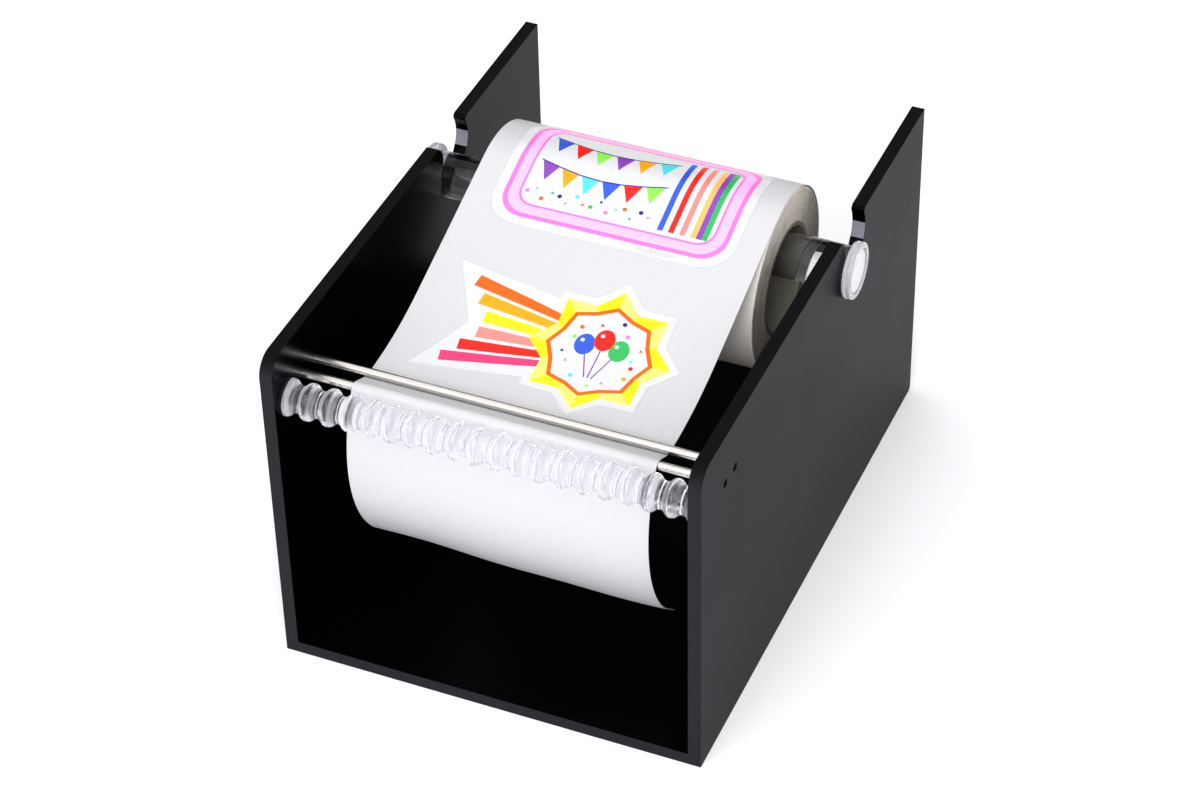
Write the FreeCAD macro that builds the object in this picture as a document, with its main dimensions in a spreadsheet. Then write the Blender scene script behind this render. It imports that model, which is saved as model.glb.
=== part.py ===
import FreeCAD
import Part
import math
import os
from types import SimpleNamespace

import Sketcher

# Desk dispenser for a roll of labels: a black acrylic stand, a clear spool that drops into
# two hooked slots, two steel rods and a clear beaded roller. Millimetres.
# Row frame: origin on the floor under the middle, X to the right, Y to the back, Z up.
# Setbacks are measured from the front edge, drops from the top edge.

SIZES = [
    # Acrylic stand
    ("body_width", 166.0, "over the outer faces of both side panels"),
    ("body_depth", 231.0, "front edge to rear edge"),
    ("body_height", 137.5, "floor to top edge"),
    ("panel_thickness", 5.0, "acrylic sheet"),
    ("front_corner_radius", 8.0, "upper front corner of each side panel"),
    ("rear_corner_radius", 2.0, "lower rear corner of the stand"),
    # Slot for the spool, its places measured from the spool's axis
    ("spool_setback", 147.2, "spool axis"),
    ("spool_drop", 17.3, "spool axis"),
    ("seat_clearance", 0.35, "spool rod to the seat, radially"),
    ("lip_radius", 7.9, "rounded front lip"),
    ("lip_rise", 10.8, "lip's centre over the spool axis"),
    ("hollow_radius", 11.4, "hollow behind the mouth"),
    ("hollow_back", 5.4, "hollow's centre behind the spool axis"),
    ("hollow_rise", 9.3, "hollow's centre over the spool axis"),
    ("nose_radius", 1.6, "rounded rear nose"),
    # Spool
    ("spool_rod_diameter", 17.5, "solid clear rod"),
    ("spool_rod_bevel", 0.4, "bevel on the rod's ends"),
    ("spool_rod_recess", 0.8, "rod's end behind the flange ring's face"),
    ("ring_diameter", 22.0, "clear flange ring outside each panel, over its two beads"),
    ("ring_width", 3.5, "one flange ring"),
    ("ring_groove", 0.75, "depth of the groove between the two beads"),
    ("ring_gap", 0.5, "flange ring to the panel's face"),
    ("ring_fit", 0.02, "glue film between rod and ring"),
    # Steel rods
    ("guide_diameter", 3.4, "both rods"),
    ("guide_drop", 20.7, "both rods' axes"),
    ("guide_spacing", 9.2, "front rod to rear rod"),
    ("guide_recess", 1.2, "rod's end behind the panel's outer face"),
    ("guide_bevel", 0.3, "bevel on the rods' ends"),
    ("guide_fit", 0.01, "rod to its hole, radially"),
    # Beaded roller
    ("roller_setback", 10.4, "roller's axis"),
    ("roller_drop", 22.3, "roller's axis"),
    ("roller_to_guide", 11.9, "roller's axis forward of the front rod's"),
    ("bead_diameter", 14.1, "over the beads"),
    ("waist_diameter", 10.2, "between the beads"),
    ("bead_rounding", 2.4, "radius of a bead in section"),
    ("roller_end_gap", 0.6, "roller's end to the panel's inner face"),
    ("spigot_diameter", 5.0, "turned ends that the roller runs on"),
    ("spigot_reach", 2.6, "spigot inside the panel"),
    ("spigot_fit", 0.05, "spigot to its blind hole, radially"),
    ("bearing_depth", 3.0, "blind hole in the panel's inner face"),
    # Roll of labels
    ("core_bore", 41.0, "cardboard core's inside diameter"),
    ("core_wall", 1.6, "cardboard core"),
    ("core_gap", 0.3, "top of the spool rod to the core's inside"),
    ("core_fit", 0.02, "glue film between core and first turn"),
    ("wound_depth", 13.1, "wound labels over the core"),
    ("roll_edge", 0.6, "softened edge of the wound labels"),
    ("web_width", 116.2, "liner and roll"),
    ("web_shift", 0.4, "liner and roll to the right of the middle"),
    # Liner, seen from the side
    ("web_thickness", 0.2, "liner"),
    ("web_gap", 0.1, "liner to a steel rod"),
    ("wrap_gap", 0.3, "outer turn to the wound labels"),
    ("slack_drop", 9.3, "straight span, if it ran on, below the rear rod's axis"),
    ("dip_radius", 125.0, "dip where the span comes up to the rear rod"),
    ("over_radius", 3.1, "loose bend over the front rod, to the liner's middle"),
    ("tail_gap", 0.35, "hanging tail to the beads"),
    ("tail_radius", 64.0, "curl of the hanging tail"),
    ("tail_left_drop", 72.3, "cut end's left corner below the rods' axes"),
    ("tail_right_drop", 79.6, "cut end's right corner below the rods' axes"),
    # Labels, their places measured along the liner
    ("label_thickness", 0.15, "printed label"),
    ("label_glue", 0.02, "glue film between label and liner"),
    ("label_lead", 37.0, "front label's centre behind the rear rod"),
    ("label_pitch", 75.0, "one label's centre to the next"),
    ("tag_length", 96.0, "tag label across the liner"),
    ("tag_height", 60.0, "tag label along the liner"),
    ("tag_corner", 12.0, "tag label's corner radius"),
    ("star_reach", 31.0, "star label, centre to a point"),
    ("star_waist", 24.0, "star label, centre to a notch"),
    ("star_shift", 16.5, "star's centre to the right of the liner's middle"),
    ("streamer_length", 64.0, "star's centre to the streamers' free end"),
    ("streamer_spread", 50.0, "streamers' width at the free end"),
    ("streamer_root", 30.0, "streamers' width at the star"),
    ("streamer_notch", 13.0, "depth of the notch in the free end"),
    # Making
    ("overrun", 1.0, "reach of a cut past what it cuts"),
]

BEAD_PITCHES = 19
WRAP_START_DEG = -110.0     # start of the outer turn: 0 is the rear of the roll, 90 its top
STAR_POINTS = 8
CORNER_STEPS = 5
NEAR = 0.1                  # an edge that lies this close to a place lies there

doc = FreeCAD.newDocument("LabelDispenser")
sheet = doc.addObject("Spreadsheet::Sheet", "Sizes")
for row, (alias, value, note) in enumerate(SIZES, start=1):
    sheet.set(f"A{row}", alias)
    sheet.set(f"B{row}", str(value))
    sheet.set(f"C{row}", note)
    sheet.setAlias(f"B{row}", alias)
doc.recompute()
size = SimpleNamespace(**{alias: float(sheet.get(alias)) for alias, _, _ in SIZES})

# Places that several pieces share, in the side view: setback from the front edge, height.
seat = (size.spool_setback, size.body_height - size.spool_drop)
front_rod = (size.roller_setback + size.roller_to_guide, size.body_height - size.guide_drop)
rear_rod = (front_rod[0] + size.guide_spacing, front_rod[1])
roller = (size.roller_setback, size.body_height - size.roller_drop)
spool_radius = size.spool_rod_diameter / 2
core_radius = size.core_bore / 2
roll_radius = core_radius + size.core_wall + size.wound_depth
roll = (seat[0], seat[1] + spool_radius + size.core_gap - core_radius)

# The same places as expressions on the sheet, in the row frame.
SPOOL_Y = "Sizes.spool_setback - Sizes.body_depth / 2"
SPOOL_Z = "Sizes.body_height - Sizes.spool_drop"
ROLLER_Y = "Sizes.roller_setback - Sizes.body_depth / 2"
ROLLER_Z = "Sizes.body_height - Sizes.roller_drop"
FRONT_ROD_Y = f"{ROLLER_Y} + Sizes.roller_to_guide"
REAR_ROD_Y = f"{FRONT_ROD_Y} + Sizes.guide_spacing"
ROD_Z = "Sizes.body_height - Sizes.guide_drop"
ROLL_Z = f"{SPOOL_Z} + Sizes.spool_rod_diameter / 2 + Sizes.core_gap - Sizes.core_bore / 2"

pieces = []


# Helpers for the document's objects

def bind(thing, **expressions):
    """Tie properties to the sheet."""
    for name, text in expressions.items():
        thing.setExpression(name, text)


def place(piece, **axes):
    """Tie a piece's position to the sheet: x, y and z take an expression each."""
    for axis, text in axes.items():
        piece.setExpression(f"Placement.Base.{axis}", text)


def new_body(label):
    body = doc.addObject("PartDesign::Body", label)
    body.Label = label
    pieces.append(body)
    return body


def new_sketch(body, name, role):
    sketch = body.newObject("Sketcher::SketchObject", f"{body.Label}_{name}")
    plane = next(item for item in body.Origin.OriginFeatures if item.Role == role)
    sketch.AttachmentSupport = [(plane, "")]
    sketch.MapMode = "FlatFace"
    return sketch


def new_feature(body, kind, name, sketch, **expressions):
    feature = body.newObject(f"PartDesign::{kind}", f"{body.Label}_{name}")
    feature.Profile = sketch
    bind(feature, **expressions)
    return feature


def constrain(sketch, kind, name, text, *items):
    """Dimension in a sketch, tied to the sheet."""
    index = sketch.addConstraint(Sketcher.Constraint(kind, *items, size.panel_thickness))
    sketch.renameConstraint(index, name)
    sketch.setExpression(f"Constraints.{name}", text)


def rectangle(sketch, width, height):
    """Rectangle from the sketch's origin, to the right and up."""
    side = size.panel_thickness
    corners = [(0, 0), (side, 0), (side, side), (0, side)]
    for edge in polygon(corners):
        sketch.addGeometry(edge)
    for index in range(len(corners)):
        following = (index + 1) % len(corners)
        sketch.addConstraint(Sketcher.Constraint("Coincident", index, 2, following, 1))
        kind = "Vertical" if index % 2 else "Horizontal"
        sketch.addConstraint(Sketcher.Constraint(kind, index))
    sketch.addConstraint(Sketcher.Constraint("Coincident", 0, 1, -1, 1))
    constrain(sketch, "DistanceX", "wide", width, 0, 1, 0, 2)
    constrain(sketch, "DistanceY", "high", height, 1, 1, 1, 2)


def circle(sketch, name, radius, across=None, up=None):
    """Circle at the sketch's origin, or across and up from it."""
    start = FreeCAD.Vector(size.panel_thickness, size.panel_thickness, 0)
    shape = Part.Circle(start, FreeCAD.Vector(0, 0, 1), size.panel_thickness)
    index = sketch.addGeometry(shape)
    constrain(sketch, "Radius", f"{name}_radius", radius, index)
    if across:
        constrain(sketch, "DistanceX", f"{name}_across", across, -1, 1, index, 3)
        constrain(sketch, "DistanceY", f"{name}_up", up, -1, 1, index, 3)
    else:
        sketch.addConstraint(Sketcher.Constraint("Coincident", index, 3, -1, 1))


def outline(sketch, edges):
    """Closed outline worked out from the sizes, each edge held where it is."""
    for edge in edges:
        sketch.addConstraint(Sketcher.Constraint("Block", sketch.addGeometry(edge)))


def dress(body, kind, name, wanted, **expressions):
    """Fillet or chamfer on the edges of the body's last shape that the test picks."""
    doc.recompute()
    base = body.Tip
    names = [f"Edge{n}" for n, edge in enumerate(base.Shape.Edges, start=1) if wanted(edge)]
    feature = body.newObject(f"PartDesign::{kind}", f"{body.Label}_{name}")
    feature.Base = (base, names)
    bind(feature, **expressions)


def lies_at(y, z):
    """Test for an edge along X at this setback and height."""
    def wanted(edge):
        ends = [(vertex.Y, vertex.Z) for vertex in edge.Vertexes]
        return all(math.dist(end, (y, z)) < NEAR for end in ends)
    return wanted


def is_round(edge):
    return isinstance(edge.Curve, Part.Circle)


def is_outer_rim(edge):
    return is_round(edge) and abs(edge.Curve.Radius - roll_radius) < NEAR


# Helpers for plane geometry; angles are radians

def polar(centre, radius, angle):
    return (centre[0] + radius * math.cos(angle), centre[1] + radius * math.sin(angle))


def bearing(first, last):
    return math.atan2(last[1] - first[1], last[0] - first[0])


def meet(first, reach, second, other_reach, side):
    """Point at both distances from two centres, left of first to second if side is 1."""
    apart = math.dist(first, second)
    along = (apart ** 2 + reach ** 2 - other_reach ** 2) / (2 * apart)
    off = math.sqrt(reach ** 2 - along ** 2)
    heading = bearing(first, second)
    return polar(polar(first, along, heading), side * off, heading + math.pi / 2)


def straight(first, last):
    return Part.LineSegment(FreeCAD.Vector(*first, 0), FreeCAD.Vector(*last, 0))


def polygon(points):
    return [straight(a, b) for a, b in zip(points, points[1:] + points[:1])]


def arc(centre, radius, start, sweep):
    whole = Part.Circle(FreeCAD.Vector(*centre, 0), FreeCAD.Vector(0, 0, 1), radius)
    low, high = sorted((start, start + sweep))
    return Part.ArcOfCircle(whole, low, high)


# Liner's path in the side view: the outer turn, the span, both rods and the tail

class Bend:
    """Arc of the path; a positive sweep turns left, and offsets go to the left of travel."""

    def __init__(self, centre, radius, start, sweep):
        self.centre, self.radius, self.start, self.sweep = centre, radius, start, sweep
        self.side = math.copysign(1, sweep)
        self.length = radius * abs(sweep)

    def at(self, run, offset=0):
        angle = self.start + self.side * run / self.radius
        return polar(self.centre, self.radius - self.side * offset, angle)

    def heading(self, run):
        return self.start + self.side * (run / self.radius + math.pi / 2)

    def edge(self, low, high, offset):
        start = self.start + self.side * low / self.radius
        turn = self.side * (high - low) / self.radius
        return arc(self.centre, self.radius - self.side * offset, start, turn)


class Run:
    """Straight stretch of the path."""

    def __init__(self, first, last):
        self.first, self.length, self.way = first, math.dist(first, last), bearing(first, last)

    def at(self, run, offset=0):
        return polar(polar(self.first, run, self.way), offset, self.way + math.pi / 2)

    def heading(self, run):
        return self.way

    def edge(self, low, high, offset):
        return straight(self.at(low, offset), self.at(high, offset))


def tangent(first, radius, second, other_radius):
    """Heading of the line with both centres to its left, or to its right if negative."""
    return bearing(first, second) - math.asin((other_radius - radius) / math.dist(first, second))


def foot(centre, radius, heading):
    return polar(centre, radius, heading - math.pi / 2)


def turn_from(start, end, side):
    """Sweep from one angle to the other, to the left if side is 1."""
    return side * ((side * (end - start)) % (2 * math.pi))


def liner_path():
    """The path's stretches, and the arc length from its start to the rear rod."""
    half = size.web_thickness / 2
    wrap = roll_radius + size.wrap_gap + half
    bend = size.guide_diameter / 2 + size.web_gap + half
    quarter = math.pi / 2

    down = tangent(roll, wrap, rear_rod, -size.slack_drop)
    leave = foot(roll, wrap, down)
    start = math.radians(WRAP_START_DEG)
    turn = Bend(roll, wrap, start, turn_from(start, down - quarter, 1))

    inner, outer = size.dip_radius - bend, size.dip_radius - size.slack_drop
    level = foot(rear_rod, -size.slack_drop, down)
    dip_start = polar(level, math.sqrt(inner ** 2 - outer ** 2), down + math.pi)
    dip_centre = polar(dip_start, size.dip_radius, down - quarter)
    touch = bearing(dip_centre, rear_rod)
    dip = Bend(dip_centre, size.dip_radius, down + quarter, turn_from(down + quarter, touch, -1))

    over_centre = (front_rod[0], front_rod[1] + bend - size.over_radius)
    rise = tangent(rear_rod, -bend, over_centre, size.over_radius)
    under = Bend(rear_rod, bend, touch, turn_from(touch, rise + quarter, -1))
    across = Run(foot(rear_rod, -bend, rise), foot(over_centre, size.over_radius, rise))

    clear = size.bead_diameter / 2 + size.tail_gap + half
    inside = size.tail_radius - size.over_radius
    tail_centre = meet(roller, size.tail_radius + clear, over_centre, inside, -1)
    peel = bearing(tail_centre, over_centre)
    over = Bend(over_centre, size.over_radius, rise - quarter, turn_from(rise - quarter, peel, 1))
    lowest = front_rod[1] - size.tail_right_drop - size.overrun
    end = math.pi + math.asin((tail_centre[1] - lowest) / size.tail_radius)
    tail = Bend(tail_centre, size.tail_radius, peel, turn_from(peel, end, 1))

    stretches = [turn, Run(leave, dip_start), dip, under, across, over, tail]
    return stretches, sum(stretch.length for stretch in stretches[:3])


path, rear_rod_run = liner_path()
path_length = sum(stretch.length for stretch in path)


def path_point(run, offset=0):
    """Point at this arc length, its offset to the left of travel, and the heading there."""
    for stretch in path:
        if run <= stretch.length or stretch is path[-1]:
            return stretch.at(run, offset), stretch.heading(run)
        run -= stretch.length


def ribbon(low, high, near, far):
    """Outline of a strip along the path from one arc length to another."""
    spans = []
    passed = 0
    for stretch in path:
        first, last = max(low - passed, 0), min(high - passed, stretch.length)
        if last > first:
            spans.append((stretch, first, last))
        passed += stretch.length
    edges = [stretch.edge(first, last, side) for side in (near, far) for stretch, first, last in spans]
    ends = [(spans[0][0], spans[0][1]), (spans[-1][0], spans[-1][2])]
    return edges + [straight(stretch.at(run, near), stretch.at(run, far)) for stretch, run in ends]


# The stand

def slot_outline():
    """Hooked slot: mouth at the top, lip in front, hollow behind, seat low and forward."""
    top = size.body_height
    mouth = top + size.overrun
    seat_radius = spool_radius + size.seat_clearance
    lip_level = seat[1] + size.lip_rise
    lip_reach = math.sqrt((seat_radius + size.lip_radius) ** 2 - size.lip_rise ** 2)
    lip = (seat[0] - lip_reach, lip_level)
    lip_top = (lip[0] + math.sqrt(size.lip_radius ** 2 - (top - lip_level) ** 2), top)
    lip_start, lip_end = bearing(lip, lip_top), bearing(lip, seat)
    hollow = (seat[0] + size.hollow_back, seat[1] + size.hollow_rise)
    apart = math.dist(seat, hollow)
    ramp = bearing(seat, hollow) - math.acos((seat_radius - size.hollow_radius) / apart)
    nose_drop = top - size.nose_radius - hollow[1]
    nose_reach = math.sqrt((size.hollow_radius + size.nose_radius) ** 2 - nose_drop ** 2)
    nose = (hollow[0] + nose_reach, top - size.nose_radius)
    nose_angle = bearing(hollow, nose)
    return [
        straight((nose[0], top), (nose[0], mouth)),
        straight((nose[0], mouth), (lip_top[0], mouth)),
        straight((lip_top[0], mouth), lip_top),
        arc(lip, size.lip_radius, lip_start, lip_end - lip_start),
        arc(seat, seat_radius, lip_end + math.pi, ramp + math.pi - lip_end),
        straight(polar(seat, seat_radius, ramp), polar(hollow, size.hollow_radius, ramp)),
        arc(hollow, size.hollow_radius, ramp, nose_angle - ramp),
        arc(nose, size.nose_radius, math.pi / 2, nose_angle + math.pi / 2),
    ]


def cut_through(body, name, sketch):
    pocket = new_feature(body, "Pocket", name, sketch)
    pocket.Type = "ThroughAll"
    pocket.SideType = "Symmetric"


def side_panel(label, inner_x):
    """Side panel; inner_x is its inner face in its own frame, whose X runs to the right."""
    body = new_body(label)
    sheet_sketch = new_sketch(body, "outline", "YZ_Plane")
    rectangle(sheet_sketch, "Sizes.body_depth", "Sizes.body_height")
    new_feature(body, "Pad", "sheet", sheet_sketch, Length="Sizes.panel_thickness")
    front_top, rear_bottom = lies_at(0, size.body_height), lies_at(size.body_depth, 0)
    dress(body, "Fillet", "front_corner", front_top, Radius="Sizes.front_corner_radius")
    dress(body, "Fillet", "rear_corner", rear_bottom, Radius="Sizes.rear_corner_radius")

    slot = new_sketch(body, "slot", "YZ_Plane")
    outline(slot, slot_outline())
    cut_through(body, "slot_cut", slot)

    holes = new_sketch(body, "rod_holes", "YZ_Plane")
    hole = "Sizes.guide_diameter / 2 + Sizes.guide_fit"
    front = "Sizes.roller_setback + Sizes.roller_to_guide"
    circle(holes, "front", hole, front, ROD_Z)
    circle(holes, "rear", hole, f"{front} + Sizes.guide_spacing", ROD_Z)
    cut_through(body, "rod_hole_cut", holes)

    bearing_sketch = new_sketch(body, "bearing", "YZ_Plane")
    blind_hole = "Sizes.spigot_diameter / 2 + Sizes.spigot_fit"
    circle(bearing_sketch, "bearing", blind_hole, "Sizes.roller_setback", ROLLER_Z)
    bearing_cut = new_feature(body, "Pocket", "bearing_cut", bearing_sketch, Length="Sizes.bearing_depth")
    if inner_x:
        bind(bearing_sketch, **{"AttachmentOffset.Base.z": "Sizes.panel_thickness"})
    else:
        bearing_cut.Reversed = True

    mitre = new_sketch(body, "mitre", "XZ_Plane")
    thick = size.panel_thickness
    outline(mitre, polygon([(0, 0), (thick, 0), (inner_x, thick)]))
    cut_through(body, "mitre_cut", mitre)
    return body


def base_panel():
    body = new_body("base_panel")
    half, thick = size.body_width / 2, size.panel_thickness
    section = new_sketch(body, "section", "XZ_Plane")
    outline(section, polygon([(-half, 0), (half, 0), (half - thick, thick), (thick - half, thick)]))
    pad = new_feature(body, "Pad", "sheet", section, Length="Sizes.body_depth")
    pad.SideType = "Symmetric"
    rear_bottom = lies_at(size.body_depth / 2, 0)
    dress(body, "Fillet", "rear_corner", rear_bottom, Radius="Sizes.rear_corner_radius")


def stand():
    base_panel()
    left = side_panel("left_side_panel", size.panel_thickness)
    place(left, x="-Sizes.body_width / 2", y="-Sizes.body_depth / 2")
    right = side_panel("right_side_panel", 0)
    place(right, x="Sizes.body_width / 2 - Sizes.panel_thickness", y="-Sizes.body_depth / 2")


# Round pieces, each along X

def bar(label, diameter, length, bevel):
    body = new_body(label)
    sketch = new_sketch(body, "section", "YZ_Plane")
    circle(sketch, "bar", f"{diameter} / 2")
    pad = new_feature(body, "Pad", "bar", sketch, Length=length)
    pad.SideType = "Symmetric"
    dress(body, "Chamfer", "ends", is_round, Size=bevel)
    return body


def tube(label, inside, outside, length):
    body = new_body(label)
    sketch = new_sketch(body, "section", "YZ_Plane")
    circle(sketch, "inside", inside)
    circle(sketch, "outside", outside)
    pad = new_feature(body, "Pad", "tube", sketch, Length=length)
    pad.SideType = "Symmetric"
    return body


def turned(label, edges):
    """Revolution about X of a half section: X across, radius up."""
    body = new_body(label)
    sketch = new_sketch(body, "half_section", "XZ_Plane")
    outline(sketch, edges)
    turning = new_feature(body, "Revolution", "turning", sketch)
    turning.ReferenceAxis = (sketch, ["H_Axis"])
    return body


def steel_rods():
    length = "Sizes.body_width - 2 * Sizes.guide_recess"
    for label, y in (("rear_guide_rod", REAR_ROD_Y), ("front_peel_rod", FRONT_ROD_Y)):
        rod = bar(label, "Sizes.guide_diameter", length, "Sizes.guide_bevel")
        place(rod, y=y, z=ROD_Z)


def bead_roller():
    """Beads and waists as tangent arcs, with half a bead at each end and a spigot past it."""
    crest, waist = size.bead_diameter / 2, size.waist_diameter / 2
    half_length = size.body_width / 2 - size.panel_thickness - size.roller_end_gap
    half_pitch = half_length / BEAD_PITCHES
    depth = crest - waist
    both_radii = (depth ** 2 + half_pitch ** 2) / (2 * depth)
    waist_rounding = both_radii - size.bead_rounding
    lean = math.asin(half_pitch / both_radii)
    quarter = math.pi / 2
    edges = []
    for n in range(BEAD_PITCHES + 1):
        centre = (2 * n * half_pitch - half_length, crest - size.bead_rounding)
        left, right = (lean if n else 0), (lean if n < BEAD_PITCHES else 0)
        edges.append(arc(centre, size.bead_rounding, quarter + left, -left - right))
    for n in range(BEAD_PITCHES):
        centre = ((2 * n + 1) * half_pitch - half_length, waist + waist_rounding)
        edges.append(arc(centre, waist_rounding, -quarter - lean, 2 * lean))
    spigot = size.spigot_diameter / 2
    tip = half_length + size.roller_end_gap + size.spigot_reach
    ends = [(half_length, crest), (half_length, spigot), (tip, spigot), (tip, 0)]
    mirrored = [(-x, radius) for x, radius in reversed(ends)]
    points = ends + mirrored
    edges += [straight(a, b) for a, b in zip(points, points[1:])]
    place(turned("bead_roller", edges), y=ROLLER_Y, z=ROLLER_Z)


def ring_half_section():
    """Flange ring whose rim is two rounded beads with a groove between."""
    bore, root = spool_radius + size.ring_fit, size.ring_diameter / 2 - size.ring_groove
    half = size.ring_width / 2
    quarter_width = half / 2
    rounding = (quarter_width ** 2 + size.ring_groove ** 2) / (2 * size.ring_groove)
    level = size.ring_diameter / 2 - rounding
    start = math.atan2(root - level, quarter_width)
    beads = [arc((x, level), rounding, start, math.pi - 2 * start) for x in (-quarter_width, quarter_width)]
    return beads + [
        straight((half, root), (half, bore)),
        straight((half, bore), (-half, bore)),
        straight((-half, bore), (-half, root)),
    ]


def spool():
    ring_x = "Sizes.body_width / 2 + Sizes.ring_gap + Sizes.ring_width / 2"
    for label, x in (("left_flange_ring", f"-({ring_x})"), ("right_flange_ring", ring_x)):
        place(turned(label, ring_half_section()), x=x, y=SPOOL_Y, z=SPOOL_Z)
    length = "Sizes.body_width + 2 * (Sizes.ring_gap + Sizes.ring_width - Sizes.spool_rod_recess)"
    rod = bar("spool_rod", "Sizes.spool_rod_diameter", length, "Sizes.spool_rod_bevel")
    place(rod, y=SPOOL_Y, z=SPOOL_Z)


def roll_of_labels():
    bore = "Sizes.core_bore / 2"
    wall = f"{bore} + Sizes.core_wall"
    core = tube("roll_core", bore, wall, "Sizes.web_width")
    wound = tube("label_roll", f"{wall} + Sizes.core_fit", f"{wall} + Sizes.wound_depth", "Sizes.web_width")
    dress(wound, "Fillet", "edge", is_outer_rim, Radius="Sizes.roll_edge")
    for piece in (core, wound):
        place(piece, x="Sizes.web_shift", y=SPOOL_Y, z=ROLL_Z)


# Liner and the labels on it

def liner_web():
    """Strip along the path; its hanging end is cut on a slant."""
    body = new_body("liner_web")
    half = size.web_thickness / 2
    strip = new_sketch(body, "strip", "YZ_Plane")
    outline(strip, ribbon(0, path_length, -half, half))
    pad = new_feature(body, "Pad", "strip", strip, Length="Sizes.web_width")
    pad.SideType = "Symmetric"

    side = size.web_width / 2
    left, right = front_rod[1] - size.tail_left_drop, front_rod[1] - size.tail_right_drop
    slope = (right - left) / size.web_width
    below = right - size.tail_gap - 2 * size.overrun
    reach = side + size.overrun
    ends = [(x, (left + right) / 2 + slope * x) for x in (-reach, reach)]
    slant = new_sketch(body, "slant", "XZ_Plane")
    outline(slant, polygon(ends + [(reach, below), (-reach, below)]))
    cut_through(body, "slant_cut", slant)
    place(body, x="Sizes.web_shift", y="-Sizes.body_depth / 2")


def tag_outline():
    """Rounded rectangle about its own centre: to the right, and towards the back."""
    across, along = size.tag_length / 2 - size.tag_corner, size.tag_height / 2 - size.tag_corner
    corners = [(across, along), (-across, along), (-across, -along), (across, -along)]
    points = []
    for quarter, corner in enumerate(corners):
        for step in range(CORNER_STEPS + 1):
            angle = (quarter + step / CORNER_STEPS) * math.pi / 2
            points.append(polar(corner, size.tag_corner, angle))
    return [points]


def star_outlines():
    """Star at the right and the streamers that trail from it to the left."""
    centre = (size.star_shift, 0)
    star = []
    for n in range(2 * STAR_POINTS):
        reach = size.star_waist if n % 2 else size.star_reach
        star.append(polar(centre, reach, n * math.pi / STAR_POINTS))
    root, spread = size.streamer_root / 2, size.streamer_spread / 2
    end = centre[0] - size.streamer_length
    streamers = [
        (centre[0], -root), (centre[0], root), (end, spread),
        (end + size.streamer_notch, 0), (end, -spread),
    ]
    return [star, streamers]


def on_liner(point, middle, lift):
    """Place in the row frame of a label's own point, lifted off the middle of the liner."""
    across, back = point
    (setback, height), heading = path_point(middle - back, -lift)
    return FreeCAD.Vector(size.web_shift + across, setback - size.body_depth / 2, height)


def label(name, number, outlines):
    """Thin sheet that follows the liner, cut square to its own middle along each outline."""
    middle = rear_rod_run - size.label_lead - number * size.label_pitch
    low = size.web_thickness / 2 + size.label_glue
    high = low + size.label_thickness
    heading = path_point(middle)[1]
    normal = FreeCAD.Vector(0, math.cos(heading - math.pi / 2), math.sin(heading - math.pi / 2))
    reach = max(size.tag_height, size.star_reach)
    cutters = []
    for points in outlines:
        flat = []
        for point in points:
            spot = on_liner(point, middle, high)
            away = (spot - on_liner((0, 0), middle, high)).dot(normal)
            flat.append(spot - normal * (away + reach))
        cutters.append(Part.Face(Part.makePolygon(flat + flat[:1])).extrude(normal * (2 * reach)))
    cutter = cutters[0].multiFuse(cutters[1:]).removeSplitter() if len(cutters) > 1 else cutters[0]

    edges = [edge.toShape() for edge in ribbon(middle - reach, middle + reach, -low, -high)]
    strip = Part.Face(Part.Wire(Part.__sortEdges__(edges))).extrude(FreeCAD.Vector(0, 0, size.web_width))
    left, front = size.web_shift - size.web_width / 2, -size.body_depth / 2
    turn = FreeCAD.Matrix(0, 0, 1, left, 1, 0, 0, front, 0, 1, 0, 0)
    piece = doc.addObject("Part::Feature", name)
    piece.Label = name
    piece.Shape = strip.transformGeometry(turn).common(cutter)
    pieces.append(piece)


def labels():
    label("star_label_front", 0, star_outlines())
    label("tag_label", 1, tag_outline())
    label("star_label_rear", 2, star_outlines())


# Checks and files

def check():
    for item in doc.Objects:
        if {"Invalid", "Error"} & set(item.State):
            raise RuntimeError(f"{item.Label} failed: {item.State}")
        if item.isDerivedFrom("PartDesign::Pocket"):
            if item.Shape.Volume >= item.BaseFeature.Shape.Volume:
                raise RuntimeError(f"{item.Label} cuts nothing")
    for piece in pieces:
        shape = piece.Shape
        if shape.isNull() or not shape.isValid() or len(shape.Solids) != 1:
            raise RuntimeError(f"{piece.Label} is not one valid solid")


def write():
    os.makedirs("parts", exist_ok=True)
    for piece in pieces:
        piece.Shape.exportStep(f"parts/{piece.Label}.step")


stand()
steel_rods()
bead_roller()
spool()
roll_of_labels()
liner_web()
labels()
doc.recompute()
check()
write()
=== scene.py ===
import math

import bpy
from mathutils import Matrix, Vector
from mathutils.geometry import delaunay_2d_cdt


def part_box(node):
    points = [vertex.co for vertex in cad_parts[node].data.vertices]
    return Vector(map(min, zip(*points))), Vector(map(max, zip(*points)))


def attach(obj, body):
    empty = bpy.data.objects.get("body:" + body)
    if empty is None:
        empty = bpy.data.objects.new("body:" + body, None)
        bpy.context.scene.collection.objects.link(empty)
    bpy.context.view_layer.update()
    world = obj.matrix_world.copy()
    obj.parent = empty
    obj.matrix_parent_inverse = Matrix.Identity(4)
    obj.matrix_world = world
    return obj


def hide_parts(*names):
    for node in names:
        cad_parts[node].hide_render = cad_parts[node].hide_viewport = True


# Desk dispenser for a roll of labels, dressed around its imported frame.
# Metres: X to the right seen from the front, Y to the back, Z up, floor at zero.

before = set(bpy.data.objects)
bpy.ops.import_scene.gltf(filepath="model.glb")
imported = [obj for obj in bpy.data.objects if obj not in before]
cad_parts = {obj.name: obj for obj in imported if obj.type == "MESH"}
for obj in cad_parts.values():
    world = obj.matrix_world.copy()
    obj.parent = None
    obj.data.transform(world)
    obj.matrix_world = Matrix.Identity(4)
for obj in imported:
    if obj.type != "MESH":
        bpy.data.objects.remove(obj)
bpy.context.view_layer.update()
MM = 0.001

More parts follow.
